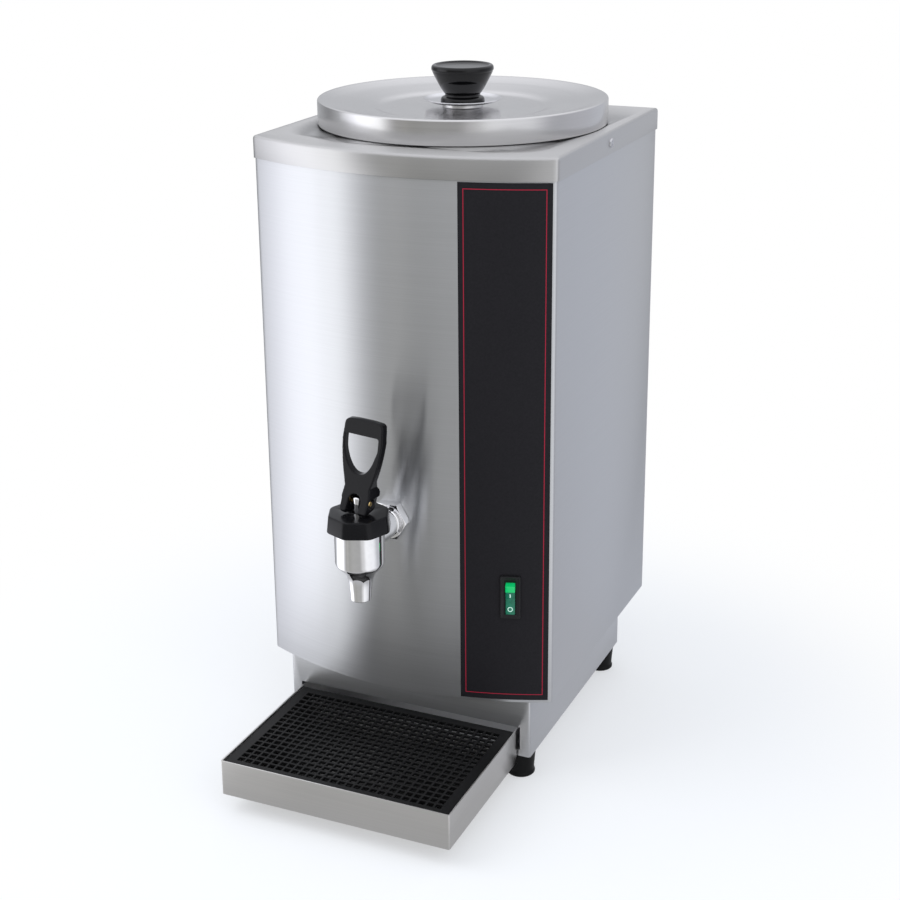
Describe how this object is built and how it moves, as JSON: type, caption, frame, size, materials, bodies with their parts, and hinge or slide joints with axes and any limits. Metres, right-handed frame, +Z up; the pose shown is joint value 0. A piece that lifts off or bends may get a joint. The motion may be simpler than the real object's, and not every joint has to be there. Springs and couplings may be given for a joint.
{
  "type": "milk dispenser",
  "caption": "Counter-top milk dispenser with a bowed steel casing, lift-out container, lidded top, lever tap and a pull-out drip tray.",
  "frame": {"origin": "on the floor, midway between the drip tray's front and the cover's rear, on the line of the tap", "axes": "+Z up, front towards -Y, +X to the right as the viewer faces the front"},
  "size_m": [0.2436, 0.358, 0.5291],
  "materials": {
    "casing_steel": "satin brushed stainless steel",
    "cover_steel": "brushed stainless steel with a polished top",
    "container_steel": "satin stainless steel",
    "lid_steel": "spun stainless steel",
    "tray_steel": "brushed stainless steel",
    "zinc_steel": "plated sheet steel",
    "screw_steel": "plated steel",
    "tap_chrome": "polished chrome",
    "washer_chrome": "polished chrome",
    "pin_brass": "turned brass",
    "lever_plastic": "satin black moulded plastic",
    "knob_plastic": "glossy black moulded plastic",
    "grid_plastic": "satin black moulded plastic",
    "gland_plastic": "matte black nylon",
    "overlay_film": "satin black printed film with a thin red outline",
    "switch_plastic": "black moulded plastic",
    "rocker_plastic": "green translucent moulded plastic",
    "terminal_metal": "tinned brass",
    "block_ceramic": "glazed white terminal block",
    "foot_rubber": "black rubber",
    "cup_rubber": "silicone",
    "heater_cast": "cast aluminium",
    "board_fibre": "pressed fibre board"
  },
  "bodies": {
    "casing": {"plinth": "casing_steel", "tray_runners": "zinc_steel", "rubber_feet": "foot_rubber", "cable_gland": "gland_plastic", "gland_nut": "gland_plastic", "body_shell": "casing_steel", "bottom_plate": "zinc_steel", "terminal_block": "block_ceramic", "support_deck": "zinc_steel", "heater_plate": "heater_cast", "thermostat": "block_ceramic", "insulation_boards": "board_fibre", "outlet_block": "container_steel", "rear_panel": "casing_steel", "top_cover": "cover_steel", "cover_screws": "screw_steel", "control_panel_overlay": "overlay_film", "switch_housing": "switch_plastic", "switch_terminals": "terminal_metal", "tap_body": "tap_chrome", "tap_lock_nut": "tap_chrome", "tap_inner_nut": "screw_steel", "tap_bonnet": "lever_plastic", "tap_spring": "screw_steel"},
    "container": {"milk_container": "container_steel"},
    "lid": {"lid": "lid_steel", "knob_washer": "washer_chrome", "lid_knob": "knob_plastic"},
    "tray": {"drip_tray": "tray_steel"},
    "grid": {"drip_grid": "grid_plastic"},
    "rocker": {"switch_rocker": "rocker_plastic"},
    "stem": {"tap_stem": "tap_chrome", "tap_pivot_pin": "pin_brass", "tap_seat_cup": "cup_rubber"},
    "lever": {"tap_lever": "lever_plastic"}
  },
  "joints": [
    {"name": "container_lift", "type": "slide", "parent": "casing", "child": "container", "axis": [0, 0, 1], "range_m": [0, 0.3]},
    {"name": "lid_lift", "type": "slide", "parent": "container", "child": "lid", "axis": [0, 0, 1], "range_m": [0, 0.12]},
    {"name": "drip_tray_slide", "type": "slide", "parent": "casing", "child": "tray", "axis": [0, -1, 0], "range_m": [0, 0.15]},
    {"name": "grid_lift", "type": "slide", "parent": "tray", "child": "grid", "axis": [0, 0, 1], "range_m": [0, 0.027]},
    {"name": "switch_rocker_hinge", "type": "hinge", "parent": "casing", "child": "rocker", "pos_m": [0.08936, -0.05678, 0.158], "axis": [0.9468, 0.3218, 0], "range_deg": [-20, 0]},
    {"name": "tap_stem_slide", "type": "slide", "parent": "casing", "child": "stem", "axis": [0, 0, 1], "range_m": [0, 0.003], "deforming": ["tap_spring"]},
    {"name": "tap_lever_hinge", "type": "hinge", "parent": "stem", "child": "lever", "pos_m": [0, -0.1249, 0.2452], "axis": [0.9848, -0.1736, 0], "range_deg": [0, 40], "stiffness_Nm_per_rad": 0.3, "springref_deg": -20.05}
  ],
  "couplings": [
    {"joint": "tap_stem_slide", "follows": "tap_lever_hinge", "m_per_rad": 0.0042972}
  ]
}
